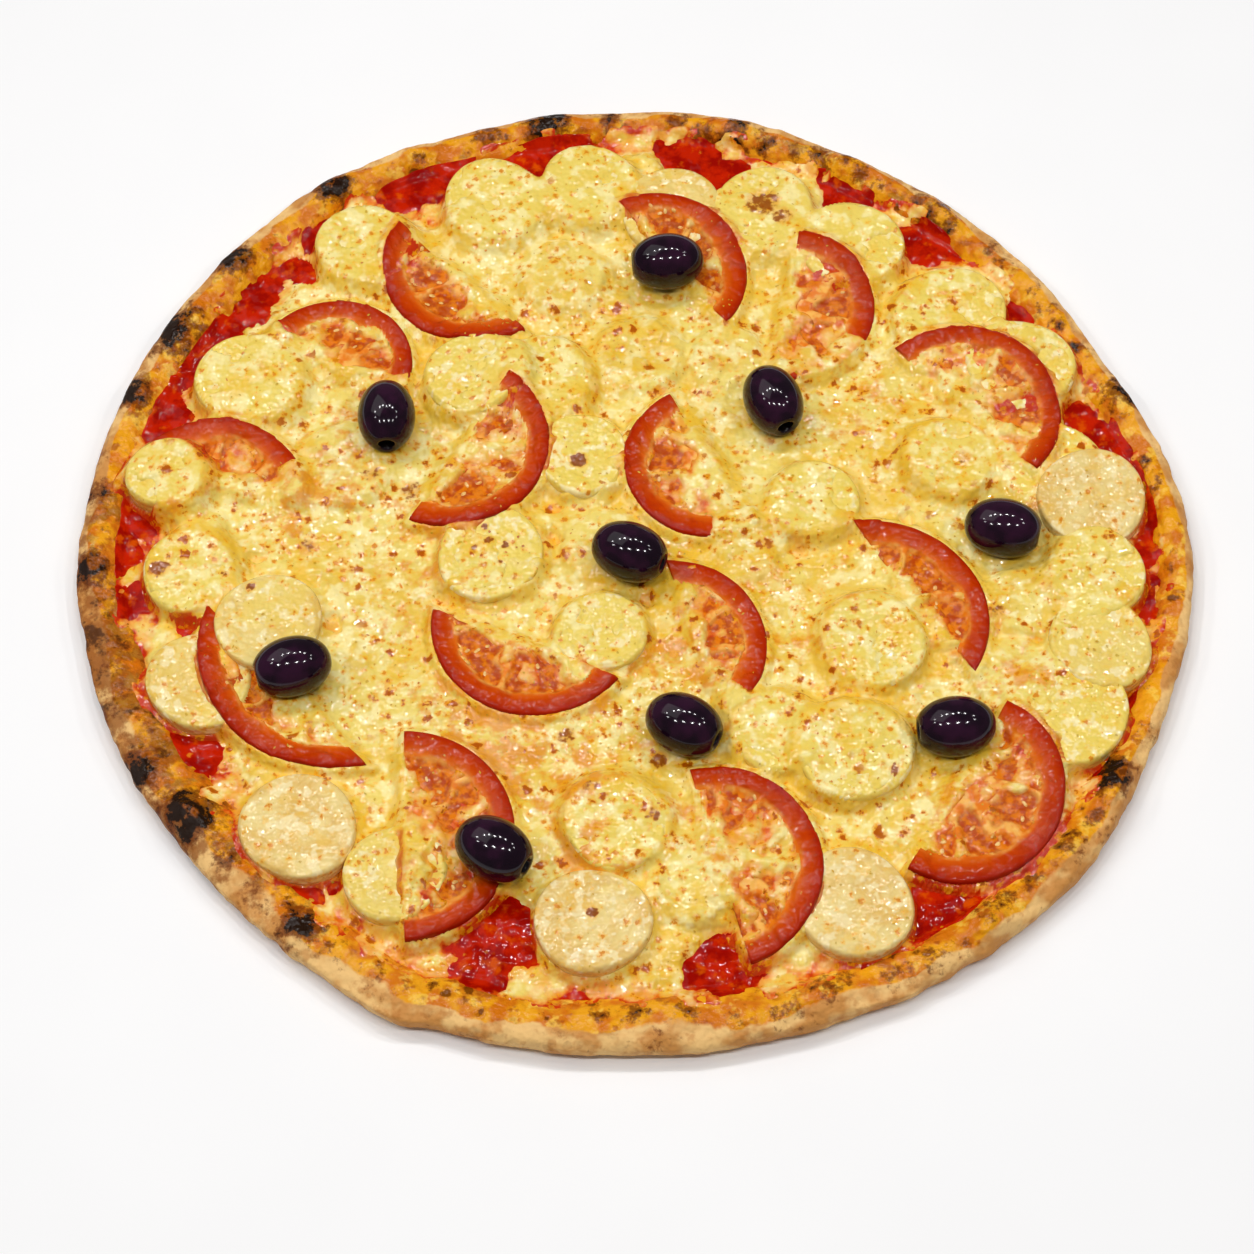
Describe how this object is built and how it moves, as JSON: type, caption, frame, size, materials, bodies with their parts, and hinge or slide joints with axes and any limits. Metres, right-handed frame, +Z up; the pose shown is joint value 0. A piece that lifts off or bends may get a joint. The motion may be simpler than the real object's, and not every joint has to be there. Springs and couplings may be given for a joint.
{
  "type": "heart of palm pizza",
  "caption": "Whole round baked pizza with a low puffed rim, melted cheese, heart of palm slices, half slices of tomato and black olives; lies flat.",
  "frame": {"origin": "centre of the pizza's bounding box on plan, at the flat underside of the dough", "axes": "+Z up through the pizza; +Y towards the far edge as the picture sees it; +X to the right"},
  "size_m": [0.3509, 0.3427, 0.0277],
  "materials": {
    "baked_dough": "matt baked crust, pale cream to toasted brown with charred blisters and an oily orange inner edge",
    "tomato_sauce": "wet deep red tomato sauce",
    "melted_cheese": "melted pale yellow cheese, softly glossy, with brown specks and green herb flecks",
    "heart_of_palm": "pale cream slices with faint rings, moist",
    "tomato": "baked tomato, red skin and wall, orange seed hollows, moist",
    "black_olive": "near-black aubergine olive skin, glossy"
  },
  "bodies": {
    "root": {"crust": "baked_dough", "sauce": "tomato_sauce", "cheese": "melted_cheese", "palm_01": "heart_of_palm", "palm_02": "heart_of_palm", "palm_03": "heart_of_palm", "palm_04": "heart_of_palm", "palm_05": "heart_of_palm", "palm_06": "heart_of_palm", "palm_07": "heart_of_palm", "palm_08": "heart_of_palm", "palm_09": "heart_of_palm", "palm_10": "heart_of_palm", "palm_11": "heart_of_palm", "palm_12": "heart_of_palm", "palm_13": "heart_of_palm", "palm_14": "heart_of_palm", "palm_15": "heart_of_palm", "palm_16": "heart_of_palm", "palm_17": "heart_of_palm", "palm_18": "heart_of_palm", "palm_19": "heart_of_palm", "palm_20": "heart_of_palm", "palm_21": "heart_of_palm", "palm_22": "heart_of_palm", "palm_23": "heart_of_palm", "palm_24": "heart_of_palm", "palm_25": "heart_of_palm", "palm_26": "heart_of_palm", "palm_27": "heart_of_palm", "palm_28": "heart_of_palm", "palm_29": "heart_of_palm", "palm_30": "heart_of_palm", "palm_31": "heart_of_palm", "palm_32": "heart_of_palm", "palm_33": "heart_of_palm", "tomato_01": "tomato", "tomato_02": "tomato", "tomato_03": "tomato", "tomato_04": "tomato", "tomato_05": "tomato", "tomato_06": "tomato", "tomato_07": "tomato", "tomato_08": "tomato", "tomato_09": "tomato", "tomato_10": "tomato", "tomato_11": "tomato", "tomato_12": "tomato", "tomato_13": "tomato", "tomato_14": "tomato", "tomato_15": "tomato", "olive_1": "black_olive", "olive_2": "black_olive", "olive_3": "black_olive", "olive_4": "black_olive", "olive_5": "black_olive", "olive_6": "black_olive", "olive_7": "black_olive", "olive_8": "black_olive", "olive_9": "black_olive"}
  },
  "joints": []
}
